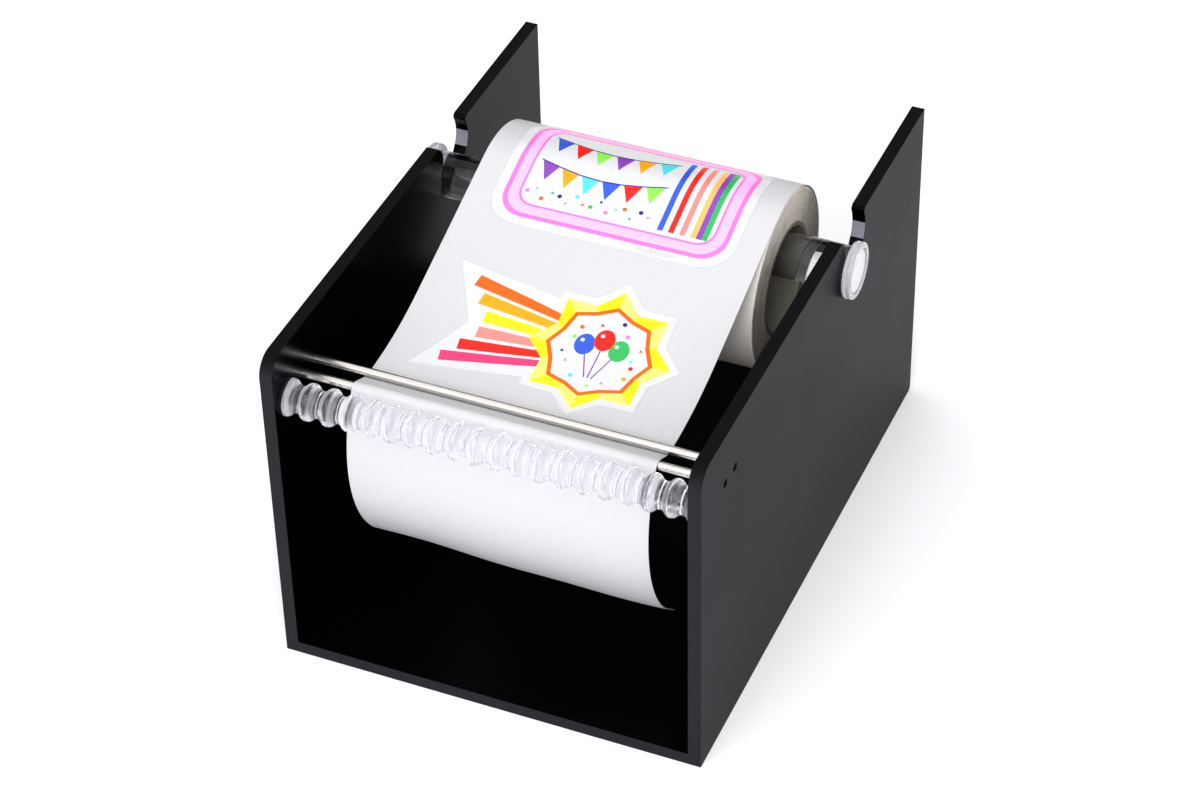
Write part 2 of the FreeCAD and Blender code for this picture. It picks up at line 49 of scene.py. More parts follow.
# Camera at the photograph's angle
CAMERA_AZIMUTH, CAMERA_ELEVATION, CAMERA_ROLL = (math.radians(a) for a in (23.70, 39.44, -1.27))
CAMERA_PLACE = Vector((0.39537, -0.90963, 0.87296))
FOCAL_PIXELS = 3385.5
FRAME_PIXELS = 1200
SENSOR_MM = 36

# Liner, the same values as the frame's
WEB_THICKNESS = 0.2 * MM
WEB_GAP = 0.1 * MM          # liner to a steel rod
WRAP_GAP = 0.3 * MM         # outer turn to the wound labels
SLACK_DROP = 9.3 * MM       # straight span, if it ran on, below the rear rod's axis
DIP_RADIUS = 125 * MM
OVER_RADIUS = 3.1 * MM      # loose bend over the front rod, to the liner's middle
TAIL_GAP = 0.35 * MM        # hanging tail to the beads
TAIL_RADIUS = 64 * MM
TAIL_LEFT_DROP = 72.3 * MM  # cut end's corners below the rods' axes
TAIL_RIGHT_DROP = 79.6 * MM
WRAP_START = math.radians(-110)
ROW_STEP = 2 * MM           # liner's mesh along the path
COLUMN_STEP = 2 * MM        # and across it
BEND_STEP = math.radians(6)
TAIL_RIPPLE = 0.8 * MM      # the slack end isn't quite flat
SPAN_RIPPLE = 0.25 * MM

# Labels, their places along the liner as in the frame; their art is drawn in millimetres
LABEL_THICKNESS = 0.15 * MM
LABEL_GLUE = 0.02 * MM
LABEL_LEAD = 37 * MM
LABEL_PITCH = 75 * MM

# Hooked slots, measured from the spool's axis: where their walls are, and the grey band on them
SLOT_SETBACK, SLOT_REACH = 6 * MM, 19 * MM
SLOT_DEPTH = 14 * MM
BAND_HEIGHT, BAND_REACH = 6.4 * MM, 3.1 * MM
TOP_SKIN = 0.1 * MM         # under the top edges
FACE_SKIN = 1 * MM          # under the outer faces

# Studio
LIGHT_AIM = Vector((0, 0, 0.06))
FLOOR_REACH = 5.0


# Places read from the frame, in the side view: setback along Y, height along Z

def side_view(node):
    """Axis and radius of a round piece that lies along X."""
    low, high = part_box(node)
    return ((low.y + high.y) / 2, (low.z + high.z) / 2), (high.z - low.z) / 2


front_rod, rod_radius = side_view("front_peel_rod")
rear_rod = side_view("rear_guide_rod")[0]
roller, bead_radius = side_view("bead_roller")
roll, roll_radius = side_view("label_roll")
spool = side_view("spool_rod")[0]
web_left, web_right = (corner.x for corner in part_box("label_roll"))
web_middle, web_width = (web_left + web_right) / 2, web_right - web_left
stand_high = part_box("right_side_panel")[1]


# Plane geometry

def polar(centre, radius, angle):
    """Point at this distance and angle from the centre."""
    return (centre[0] + radius * math.cos(angle), centre[1] + radius * math.sin(angle))


def bearing(first, last):
    """Angle of the way from one point to another."""
    return math.atan2(last[1] - first[1], last[0] - first[0])


def meet(first, reach, second, other_reach, side):
    """Point at both distances from two centres, left of first to second if side is 1."""
    apart = math.dist(first, second)
    along = (apart ** 2 + reach ** 2 - other_reach ** 2) / (2 * apart)
    off = math.sqrt(reach ** 2 - along ** 2)
    heading = bearing(first, second)
    return polar(polar(first, along, heading), side * off, heading + math.pi / 2)


# Liner's path in the side view: the outer turn, the span, both rods and the tail

class Bend:
    """Arc of the path; a positive sweep turns left, and offsets go to the left of travel."""

    def __init__(self, centre, radius, start, sweep):
        self.centre, self.radius, self.start = centre, radius, start
        self.side = math.copysign(1, sweep)
        self.length = radius * abs(sweep)
        self.step = min(ROW_STEP, radius * BEND_STEP)

    def at(self, run, offset):
        angle = self.start + self.side * run / self.radius
        return polar(self.centre, self.radius - self.side * offset, angle)


class Run:
    """Straight stretch of the path."""

    def __init__(self, first, last):
        self.first, self.length, self.way = first, math.dist(first, last), bearing(first, last)
        self.step = ROW_STEP

    def at(self, run, offset):
        return polar(polar(self.first, run, self.way), offset, self.way + math.pi / 2)


def tangent(first, radius, second, other_radius):
    """Heading of the line with both centres to its left, or to its right if negative."""
    return bearing(first, second) - math.asin((other_radius - radius) / math.dist(first, second))


def foot(centre, radius, heading):
    """Where a line of this heading touches the circle that lies to its left."""
    return polar(centre, radius, heading - math.pi / 2)


def turn_from(start, end, side):
    """Sweep from one angle to the other, to the left if side is 1."""
    return side * ((side * (end - start)) % (2 * math.pi))


def tail_angle(height):
    """Angle on the tail's curl at which it is this high."""
    return math.pi + math.asin((tail_centre[1] - height) / TAIL_RADIUS)


half_web = WEB_THICKNESS / 2
wrap_radius = roll_radius + WRAP_GAP + half_web
bend_radius = rod_radius + WEB_GAP + half_web
quarter = math.pi / 2

down = tangent(roll, wrap_radius, rear_rod, -SLACK_DROP)
level = foot(rear_rod, -SLACK_DROP, down)
dip_reach = math.sqrt((DIP_RADIUS - bend_radius) ** 2 - (DIP_RADIUS - SLACK_DROP) ** 2)
dip_start = polar(level, dip_reach, down + math.pi)
dip_centre = polar(dip_start, DIP_RADIUS, down - quarter)
touch = bearing(dip_centre, rear_rod)
over_centre = (front_rod[0], front_rod[1] + bend_radius - OVER_RADIUS)
rise = tangent(rear_rod, -bend_radius, over_centre, OVER_RADIUS)
tail_reach = TAIL_RADIUS + bead_radius + TAIL_GAP + half_web
tail_centre = meet(roller, tail_reach, over_centre, TAIL_RADIUS - OVER_RADIUS, -1)
peel = bearing(tail_centre, over_centre)

PATH = [
    Bend(roll, wrap_radius, WRAP_START, turn_from(WRAP_START, down - quarter, 1)),
    Run(foot(roll, wrap_radius, down), dip_start),
    Bend(dip_centre, DIP_RADIUS, down + quarter, turn_from(down + quarter, touch, -1)),
    Bend(rear_rod, bend_radius, touch, turn_from(touch, rise + quarter, -1)),
    Run(foot(rear_rod, -bend_radius, rise), foot(over_centre, OVER_RADIUS, rise)),
    Bend(over_centre, OVER_RADIUS, rise - quarter, turn_from(rise - quarter, peel, 1)),
]
wrap_end = PATH[0].length
rear_rod_run = sum(stretch.length for stretch in PATH[:3])
tail_start = sum(stretch.length for stretch in PATH)
cut_low = tail_angle(front_rod[1] - TAIL_RIGHT_DROP)
PATH.append(Bend(tail_centre, TAIL_RADIUS, peel, cut_low - peel))
path_length = tail_start + PATH[-1].length


def ripple(across, run):
    """How far the slack paper stands off its line: nothing at the roll and the rods."""
    if run > tail_start:
        share = (run - tail_start) / (path_length - tail_start)
        wave = math.sin(across / (24 * MM) + 0.6) + 0.3 * math.sin(across / (9 * MM) + 3 * share)
        return TAIL_RIPPLE * share ** 2 * wave
    if wrap_end < run < rear_rod_run:
        share = (run - wrap_end) / (rear_rod_run - wrap_end)
        wave = math.sin(across / (19 * MM) + 4 * share) + 0.5 * math.sin(across / (8 * MM) - 7 * share)
        return SPAN_RIPPLE * math.sin(math.pi * share) ** 2 * wave
    return 0


def on_path(across, run, lift):
    """Point of the liner's path, lifted off its middle on the printed side."""
    offset = -lift - ripple(across, run)
    for stretch in PATH:
        if run <= stretch.length or stretch is PATH[-1]:
            return Vector((web_middle + across, *stretch.at(run, offset)))
        run -= stretch.length


def path_rows(low, high):
    """Arc lengths at which a sheet on the path bends, from low to high."""
    rows = [low]
    passed = 0
    for stretch in PATH:
        steps = math.ceil(stretch.length / stretch.step)
        rows += [passed + stretch.length * n / steps for n in range(steps + 1)]
        passed += stretch.length
    rows = sorted(row for row in rows if low <= row <= high) + [high]
    return [row for n, row in enumerate(rows) if n == 0 or row - rows[n - 1] > ROW_STEP / 100]


# Shading

def linear(colour):
    """Linear RGBA of an sRGB hex colour."""
    parts = [int(colour[n:n + 2], 16) / 255 for n in (1, 3, 5)]
    return [c / 12.92 if c <= 0.04045 else ((c + 0.055) / 1.055) ** 2.4 for c in parts] + [1]


def add_node(tree, kind, sockets=None, **settings):
    """Add a node: its settings, then its sockets, each with a value or another node's output."""
    made = tree.nodes.new("ShaderNode" + kind)
    for name, value in settings.items():
        setattr(made, name, value)
    for socket, value in (sockets or {}).items():
        if isinstance(value, bpy.types.NodeSocket):
            tree.links.new(value, made.inputs[socket])
        else:
            made.inputs[socket].default_value = value
    return made


def start_material(name, colour, **sockets):
    """Material with one principled shader; sockets are named with underscores for spaces."""
    material = bpy.data.materials.new(name)
    material.use_nodes = True
    material.diffuse_color = linear(colour)
    tree = material.node_tree
    tree.nodes.clear()
    named = {socket.replace("_", " "): value for socket, value in sockets.items()}
    shader = add_node(tree, "BsdfPrincipled", {"Base Color": linear(colour), **named})
    add_node(tree, "OutputMaterial", {"Surface": shader.outputs[0]})
    return material, tree, shader


def black_cast_acrylic(name, face_axis):
    """Black cast acrylic sheet, satin outside and glossy inside as it was cast. Scraped edges are
    greyer and scatter more; edges that face up get a painted shade, darker for the dark ceiling
    above them. The slot's walls are flame polished and mirror the room, but for a band that keeps
    the cutter's grey."""
    material, tree, shader = start_material(
        name, "#050506", IOR=1.49, Specular_IOR_Level=0.19, Specular_Tint=linear("#e9e4f4"))
    spot = add_node(tree, "TexCoord")
    place = spot.outputs["Object"]
    normal = add_node(tree, "SeparateXYZ", {0: spot.outputs["Normal"]})
    facing = add_node(tree, "Math", {0: normal.outputs[face_axis]}, operation="ABSOLUTE")
    is_edge = add_node(tree, "Math", {0: facing.outputs[0], 1: 0.7}, operation="LESS_THAN")

    # Slot walls lie between the mouth's ends, under the top edge.
    where = add_node(tree, "SeparateXYZ", {0: place})
    along = add_node(tree, "Math", {
        0: where.outputs[1], 1: spool[0] + SLOT_SETBACK, 2: SLOT_REACH}, operation="COMPARE")
    under = add_node(tree, "Math", {0: where.outputs[2], 1: stand_high.z - TOP_SKIN}, operation="LESS_THAN")
    above = add_node(tree, "Math", {
        0: where.outputs[2], 1: spool[1] - SLOT_DEPTH}, operation="GREATER_THAN")
    in_slot = add_node(tree, "Math", {0: along.outputs[0], 1: under.outputs[0]}, operation="MULTIPLY")
    in_slot = add_node(tree, "Math", {0: in_slot.outputs[0], 1: above.outputs[0]}, operation="MULTIPLY")
    in_slot = add_node(tree, "Math", {0: in_slot.outputs[0], 1: is_edge.outputs[0]}, operation="MULTIPLY")
    band = add_node(tree, "Math", {
        0: where.outputs[2], 1: spool[1] + BAND_HEIGHT, 2: BAND_REACH}, operation="COMPARE")
    milled = add_node(tree, "Math", {0: in_slot.outputs[0], 1: band.outputs[0]}, operation="MULTIPLY")
    across = add_node(tree, "Math", {0: where.outputs[0]}, operation="ABSOLUTE")
    outside = add_node(tree, "Math", {
        0: across.outputs[0], 1: stand_high.x - FACE_SKIN}, operation="GREATER_THAN")
    painted_top_edge_shade = add_node(tree, "MapRange", {0: normal.outputs[2], 1: 0.3, 2: 0.8})

    # Saw grain of 0.4 mm, drawn at 0.8 mm so that it shows.
    grain = add_node(tree, "TexNoise", {"Vector": place, "Scale": 1 / (0.8 * MM), "Detail": 4.0})
    haze = add_node(tree, "TexNoise", {"Vector": place, "Scale": 1 / (35 * MM), "Detail": 2.0})
    edge_colour = add_node(tree, "Mix", {
        0: grain.outputs[0], 6: linear("#29272b"), 7: linear("#373439")}, data_type="RGBA")
    # Edges that face up are painted darker: a painted shade for the dark ceiling they mirror, not a finish
    # of their own.
    edge_colour = add_node(tree, "Mix", {
        0: painted_top_edge_shade.outputs[0], 6: edge_colour.outputs[2], 7: linear("#161518")}, data_type="RGBA")
    face_colour = add_node(tree, "Mix", {
        0: haze.outputs[0], 6: linear("#030304"), 7: linear("#060607")}, data_type="RGBA")
    scraped = add_node(tree, "Math", {0: is_edge.outputs[0], 1: in_slot.outputs[0]}, operation="SUBTRACT")
    colour = add_node(tree, "Mix", {
        0: scraped.outputs[0], 6: face_colour.outputs[2], 7: edge_colour.outputs[2]}, data_type="RGBA")
    colour = add_node(tree, "Mix", {
        0: milled.outputs[0], 6: colour.outputs[2], 7: linear("#8a8990")}, data_type="RGBA")
    satin = add_node(tree, "MapRange", {0: haze.outputs[0], 3: 0.37, 4: 0.43})
    gloss = add_node(tree, "MapRange", {0: haze.outputs[0], 3: 0.22, 4: 0.28})
    face_rough = add_node(tree, "Mix", {0: outside.outputs[0], 2: gloss.outputs[0], 3: satin.outputs[0]})
    edge_rough = add_node(tree, "MapRange", {0: grain.outputs[0], 3: 0.40, 4: 0.60})
    rough = add_node(tree, "Mix", {
        0: scraped.outputs[0], 2: face_rough.outputs[0], 3: edge_rough.outputs[0]})
    rough = add_node(tree, "Mix", {0: in_slot.outputs[0], 2: rough.outputs[0], 3: 0.06})
    rough = add_node(tree, "Mix", {0: milled.outputs[0], 2: rough.outputs[0], 3: 0.6})
    relief = add_node(tree, "Math", {0: grain.outputs[0], 1: scraped.outputs[0]}, operation="MULTIPLY")
    bump = add_node(tree, "Bump", {"Height": relief.outputs[0], "Strength": 0.5, "Distance": 0.05 * MM})
    tree.links.new(colour.outputs[2], shader.inputs["Base Color"])
    tree.links.new(rough.outputs[0], shader.inputs["Roughness"])
    tree.links.new(bump.outputs[0], shader.inputs["Normal"])
    return material


def polished_stainless():
    """Stainless rod, centreless ground and polished: fine lines round it, a slightly warm white."""
    material, tree, shader = start_material("polished_stainless", "#d9d6d2", Metallic=1.0)
    place = add_node(tree, "TexCoord").outputs["Object"]
    # Grinding lines of 0.1 mm, drawn at 4 mm as slow changes of the shine.
    squeeze = add_node(tree, "Mapping", {0: place, 3: (1 / (4 * MM), 1 / (8 * MM), 1 / (8 * MM))})
    lines = add_node(tree, "TexNoise", {"Vector": squeeze.outputs[0], "Scale": 1.0, "Detail": 3.0})
    rough = add_node(tree, "MapRange", {0: lines.outputs[0], 3: 0.19, 4: 0.25})
    bump = add_node(tree, "Bump", {"Height": lines.outputs[0], "Strength": 0.05, "Distance": 0.01 * MM})
    tree.links.new(rough.outputs[0], shader.inputs["Roughness"])
    tree.links.new(bump.outputs[0], shader.inputs["Normal"])
    return material


def clear_acrylic(name, side_rough, end_rough, side_clear, end_clear, steep=(0.95, 0.98)):
    """Clear acrylic, turned and polished: water clear, with faint tool lines round it. Where the
    surface faces along the axis, from the first to the second share that steep gives, it is an end,
    with its own roughness. The clear shares say how much light passes: sanded faces are white."""
    material, tree, shader = start_material(name, "#e9e9ec", IOR=1.49, Transmission_Weight=1.0)
    spot = add_node(tree, "TexCoord")
    place = spot.outputs["Object"]
    normal = add_node(tree, "SeparateXYZ", {0: spot.outputs["Normal"]})
    facing = add_node(tree, "Math", {0: normal.outputs[0]}, operation="ABSOLUTE")
    is_end = add_node(tree, "MapRange", {0: facing.outputs[0], 1: steep[0], 2: steep[1]})
    # Tool feed of 0.1 mm, drawn at 0.4 mm.
    squeeze = add_node(tree, "Mapping", {0: place, 3: (1 / (0.4 * MM), 1 / (20 * MM), 1 / (20 * MM))})
    lines = add_node(tree, "TexNoise", {"Vector": squeeze.outputs[0], "Scale": 1.0, "Detail": 2.0})
    rough = add_node(tree, "MapRange", {0: lines.outputs[0], 3: side_rough / 2, 4: side_rough * 3 / 2})
    rough = add_node(tree, "Mix", {0: is_end.outputs[0], 2: rough.outputs[0], 3: end_rough})
    bump = add_node(tree, "Bump", {"Height": lines.outputs[0], "Strength": 0.1, "Distance": 0.01 * MM})
    tree.links.new(rough.outputs[0], shader.inputs["Roughness"])
    tree.links.new(bump.outputs[0], shader.inputs["Normal"])
    clear = add_node(tree, "Mix", {0: is_end.outputs[0], 2: side_clear, 3: end_clear})
    tree.links.new(clear.outputs[0], shader.inputs["Transmission Weight"])
    # Most of the lamps' light passes, so that the paper behind it is lit.
    path = add_node(tree, "LightPath")
    passing = add_node(tree, "BsdfTransparent", {0: linear("#d4d4d8")})
    surface = add_node(tree, "MixShader", {
        0: path.outputs["Is Shadow Ray"], 1: shader.outputs[0], 2: passing.outputs[0]})
    tree.links.new(surface.outputs[0], tree.nodes["Material Output"].inputs["Surface"])
    return material


def core_board():
    """Grey board wound on a slant into a tube and glued, a seam every 45 mm: drawn matt and speckled,
    without the seams.
    """
    material, tree, shader = start_material("wound_core_board", "#8d8a80", Roughness=0.8)
    place = add_node(tree, "TexCoord").outputs["Object"]
    fibres = add_node(tree, "TexNoise", {"Vector": place, "Scale": 1 / (0.9 * MM), "Detail": 5.0})
    clouds = add_node(tree, "TexNoise", {"Vector": place, "Scale": 1 / (14 * MM), "Detail": 2.0})
    blend = add_node(tree, "Mix", {0: 0.45, 2: fibres.outputs[0], 3: clouds.outputs[0]})
    colour = add_node(tree, "Mix", {
        0: blend.outputs[0], 6: linear("#6f6d64"), 7: linear("#a9a69c")}, data_type="RGBA")
    bump = add_node(tree, "Bump", {"Height": fibres.outputs[0], "Strength": 0.4, "Distance": 0.1 * MM})
    tree.links.new(colour.outputs[2], shader.inputs["Base Color"])
    tree.links.new(bump.outputs[0], shader.inputs["Normal"])
    return material


def wound_label_stock():
    """Roll of labels: white liner outside, tinted warm as a painted shade for the warm bounce light
    it gets in shadow, and on its ends the cut edges of every turn, greyed and browned by glue and dust."""
    material, tree, shader = start_material("wound_label_stock", "#e9e7e6", Roughness=0.55)
    spot = add_node(tree, "TexCoord")
    normal = add_node(tree, "SeparateXYZ", {0: spot.outputs["Normal"]})
    facing = add_node(tree, "Math", {0: normal.outputs[0]}, operation="ABSOLUTE")
    is_end = add_node(tree, "Math", {0: facing.outputs[0], 1: 0.5}, operation="GREATER_THAN")
    centred = add_node(tree, "VectorMath", {0: spot.outputs["Object"], 1: (0, *roll)}, operation="SUBTRACT")
    flat = add_node(tree, "VectorMath", {0: centred.outputs[0], 1: (0, 1, 1)}, operation="MULTIPLY")
    radius = add_node(tree, "VectorMath", {0: flat.outputs[0]}, operation="LENGTH")
    # Turns are 0.3 mm deep, drawn in bands of 1 mm.
    turns = add_node(tree, "TexNoise", {
        "W": radius.outputs["Value"], "Scale": 1 / (1.0 * MM), "Detail": 3.0}, noise_dimensions="1D")
    dust = add_node(tree, "TexNoise", {"Vector": flat.outputs[0], "Scale": 1 / (0.7 * MM), "Detail": 4.0})
    stain = add_node(tree, "TexNoise", {"Vector": flat.outputs[0], "Scale": 1 / (11 * MM), "Detail": 3.0})
    paper = add_node(tree, "Mix", {
        0: turns.outputs[0], 6: linear("#b0a79b"), 7: linear("#fbf6ef")}, data_type="RGBA")
    specks = add_node(tree, "Mix", {
        0: dust.outputs[0], 6: linear("#bcb2a7"), 7: linear("#f5f1eb")}, data_type="RGBA")
    ends = add_node(tree, "Mix", {
        0: 0.4, 6: paper.outputs[2], 7: specks.outputs[2]}, data_type="RGBA")
    tone = add_node(tree, "MapRange", {0: stain.outputs[0], 1: 0.5, 2: 0.75, 3: 0.0, 4: 0.5})
    ends = add_node(tree, "Mix", {
        0: tone.outputs[0], 6: ends.outputs[2], 7: linear("#8a7764")}, data_type="RGBA")
    # The outside is the white liner with a warm tint: a painted warm shade, for the bounce light in the
    # roll's shadow.
    colour = add_node(tree, "Mix", {
        0: is_end.outputs[0], 6: linear("#f3ede7"), 7: ends.outputs[2]}, data_type="RGBA")
    relief = add_node(tree, "Math", {0: turns.outputs[0], 1: is_end.outputs[0]}, operation="MULTIPLY")
    bump = add_node(tree, "Bump", {"Height": relief.outputs[0], "Strength": 0.6, "Distance": 0.15 * MM})
    tree.links.new(colour.outputs[2], shader.inputs["Base Color"])
    tree.links.new(bump.outputs[0], shader.inputs["Normal"])
    return material


def coated_paper(name, colour, deep_colour, gloss_low, gloss_high, passing=0):
    """Paper with a smooth coat: faint fibre clouds under an even, soft shine. Thin paper also glows
    with the light behind it, by the share called passing."""
    material, tree, shader = start_material(name, colour)
    place = add_node(tree, "TexCoord").outputs["Object"]
    # Fibre clouds of 3 mm over fibres of 0.2 mm, the fibres drawn at 0.5 mm.
    clouds = add_node(tree, "TexNoise", {"Vector": place, "Scale": 1 / (3 * MM), "Detail": 3.0})
    fibres = add_node(tree, "TexNoise", {"Vector": place, "Scale": 1 / (0.5 * MM), "Detail": 2.0})
    tint = add_node(tree, "Mix", {
        0: clouds.outputs[0], 6: linear(deep_colour), 7: linear(colour)}, data_type="RGBA")
    rough = add_node(tree, "MapRange", {0: clouds.outputs[0], 3: gloss_low, 4: gloss_high})
    bump = add_node(tree, "Bump", {"Height": fibres.outputs[0], "Strength": 0.1, "Distance": 0.01 * MM})
    tree.links.new(tint.outputs[2], shader.inputs["Base Color"])
    tree.links.new(rough.outputs[0], shader.inputs["Roughness"])
    tree.links.new(bump.outputs[0], shader.inputs["Normal"])
    if passing:
        glow = add_node(tree, "BsdfTranslucent", {0: linear(colour)})
        surface = add_node(tree, "MixShader", {0: passing, 1: shader.outputs[0], 2: glow.outputs[0]})
        tree.links.new(surface.outputs[0], tree.nodes["Material Output"].inputs["Surface"])
    return material


def dress(node, material):
    """Give a frame piece its finish."""
    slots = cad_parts[node].data.materials
    slots.clear()
    slots.append(material)


# Paper sheets that follow the liner's path

def paper_sheet(name, flat, faces, low, high, materials, inks):
    """Closed sheet: flat holds (across, run) points, and faces run anticlockwise seen from outside."""
    count = len(flat)
    points = [on_path(across, run, lift) for lift in (high, low) for across, run in flat]
    used = dict.fromkeys((a, b) for face in faces for a, b in zip(face, face[1:] + face[:1]))
    rim = [(a, b) for a, b in used if (b, a) not in used]
    under = [[n + count for n in reversed(face)] for face in faces]
    walls = [[b, a, a + count, b + count] for a, b in rim]
    mesh = bpy.data.meshes.new(name)
    mesh.from_pydata(points, [], faces + under + walls)
    for material in materials:
        mesh.materials.append(material)
    mesh.polygons.foreach_set("material_index", inks + [0] * (len(under) + len(walls)))
    mesh.polygons.foreach_set("use_smooth", [True] * len(mesh.polygons))
    mesh.set_sharp_from_angle(angle=math.radians(40))
    mesh.update()
    sheet = bpy.data.objects.new(name, mesh)
    bpy.context.scene.collection.objects.link(sheet)
    return sheet


def cut_run(across):
    """Arc length of the slanted cut end at this place across the liner."""
    middle = front_rod[1] - (TAIL_LEFT_DROP + TAIL_RIGHT_DROP) / 2
    height = middle - (TAIL_RIGHT_DROP - TAIL_LEFT_DROP) * across / web_width
    return tail_start + (tail_angle(height) - peel) * TAIL_RADIUS


def liner():
    """The liner that has left the roll: a grid whose last rows close up to the slanted cut."""
    columns = math.ceil(web_width / COLUMN_STEP)
    rows = path_rows(0, path_length)
    flat = []
    for n in range(columns + 1):
        across = web_width * (n / columns - 1 / 2)
        stretch = (cut_run(across) - tail_start) / (path_length - tail_start)
        flat += [(across, min(row, tail_start) + max(row - tail_start, 0) * stretch) for row in rows]
    faces = []
    for n in range(columns):
        for m in range(len(rows) - 1):
            first = n * len(rows) + m
            faces.append([first, first + 1, first + len(rows) + 1, first + len(rows)])
    sheet = paper_sheet("liner_sheet", flat, faces, -half_web, half_web, [glazed_liner], [0] * len(faces))
    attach(sheet, "root")
    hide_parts("liner_web")
    return sheet


# Art on the labels: every shape is flat, in millimetres, right and up the label from its middle

def ring(centre, reach, count, turn=0.0, inner=None):
    """Round the centre: a polygon, or a star where every second corner is at the inner reach."""
    points = []
    for n in range(count):
        radius = inner if inner and n % 2 else reach
        points.append(polar(centre, radius, turn + 2 * math.pi * n / count))
    return points


def disc(centre, radius):
    return ring(centre, radius, DISC_CORNERS)


def band(first, last, width, end_width=None):
    """Straight stripe from one point to another."""
    heading = bearing(first, last)
    far = end_width if end_width else width
    sides = [(first, width, -1), (last, far, -1), (last, far, 1), (first, width, 1)]
    return [polar(point, side * wide / 2, heading + math.pi / 2) for point, wide, side in sides]


def round_corners(length, height, corner, steps=8):
    """Rounded rectangle about the middle."""
    across, along = length / 2 - corner, height / 2 - corner
    points = []
    for n, centre in enumerate([(across, along), (-across, along), (-across, -along), (across, -along)]):
        points += [polar(centre, corner, (n + m / steps) * math.pi / 2) for m in range(steps + 1)]
    return points


STAR_REACH, STAR_WAIST, STAR_SHIFT, STAR_CORNERS = 31.0, 24.0, 16.5, 16
STREAMER_LENGTH, STREAMER_SPREAD, STREAMER_ROOT, STREAMER_NOTCH = 64.0, 50.0, 30.0, 13.0
TAG_LENGTH, TAG_HEIGHT, TAG_CORNER = 96.0, 60.0, 12.0
STRIPES_LEFT, STRIPES_RIGHT, STRIPES_REACH = 17.0, TAG_LENGTH / 2 - 11.5, 18.4
STRING_LEFT, STRING_LENGTH, STRING_SAG = -36.0, 50.4, 4.0
PENNANT_STEP, PENNANT_DEPTH, PENNANT_GAP = 8.4, 8.0, 0.6
LINE_WIDTH, CONFETTI_REACH, DISC_CORNERS = 0.5, 0.9, 28
SNAP = 1e-5                 # points of the art that are nearer than this are one

INKS = {
    "stock_white": "#cdced0", "ink_yellow": "#ffdd1c", "ink_pale_yellow": "#fff27a",
    "ink_orange": "#ff6a13", "ink_amber": "#ffa010", "ink_red": "#ff2a1c", "ink_salmon": "#ff8c86",
    "ink_magenta": "#d6457a", "ink_pink": "#ff7cc4", "ink_pale_pink": "#ffb3e6",
    "ink_blue": "#3f62c8", "ink_navy": "#2b2f86", "ink_teal": "#5cc9cf", "ink_green": "#3fae62",
    "ink_lime": "#8fd45a", "ink_purple": "#8a4fb0", "ink_peach": "#ffb36b",
}


def star_art():
    """Two-tone star at the right, with confetti, and streamers that trail to the left."""
    middle = (STAR_SHIFT, 0)
    end = STAR_SHIFT - STREAMER_LENGTH
    root, spread = STREAMER_ROOT / 2, STREAMER_SPREAD / 2
    outline = ring(middle, STAR_REACH, STAR_CORNERS, inner=STAR_WAIST)
    notch = (end + STREAMER_NOTCH, 0)
    tails = [(STAR_SHIFT, -root), (STAR_SHIFT, root), (end, spread), notch, (end, -spread)]
    art = [("stock_white", outline), ("stock_white", tails)]

    inks = ["ink_orange", "ink_amber", "ink_yellow", "ink_salmon", "ink_red", "ink_magenta"]
    for n, ink in enumerate(inks):
        share = (n + 0.5) / len(inks) * 2 - 1
        start = (STAR_SHIFT - 18, -share * (root - 2.5))
        stop = (end + 7 + STREAMER_NOTCH * (1 - abs(share)), -share * (spread - 3.5))
        art.append((ink, band(start, stop, 3.0, 5.0)))

    corners = ring(middle, STAR_REACH - 3.6, STAR_CORNERS, inner=STAR_WAIST - 3.2)
    for n, (first, second) in enumerate(zip(corners, corners[1:] + corners[:1])):
        art.append(("ink_pale_yellow" if n % 2 else "ink_yellow", [middle, first, second]))
    art.append(("ink_orange", ring(middle, 20.6, STAR_CORNERS, inner=18.2)))
    art.append(("stock_white", ring(middle, 18.8, STAR_CORNERS, inner=16.6)))

    for shift, height, ink in ((-6.5, 2.5, "ink_blue"), (6.5, 3.0, "ink_green"), (0.0, 6.0, "ink_red")):
        balloon = (middle[0] + shift, height)
        art.append(("ink_purple", band((middle[0] + shift * 0.2, -11.5), balloon, LINE_WIDTH)))
        art.append((ink, [(x * 0.82 + balloon[0] * 0.18, y) for x, y in disc(balloon, 4.6)]))
        art.append(("stock_white", disc((balloon[0] - 1.4, balloon[1] + 1.6), 0.8)))
    dots = ["ink_teal", "ink_orange", "ink_lime", "ink_pink", "ink_navy", "ink_amber", "ink_red"]
    for n in range(14):
        spot = polar(middle, 13.6 + 1.4 * (n % 3 - 1), n * 2.4)
        art.append((dots[n % len(dots)], ring(spot, CONFETTI_REACH, 8 if n % 2 else 3, turn=n)))
    return art


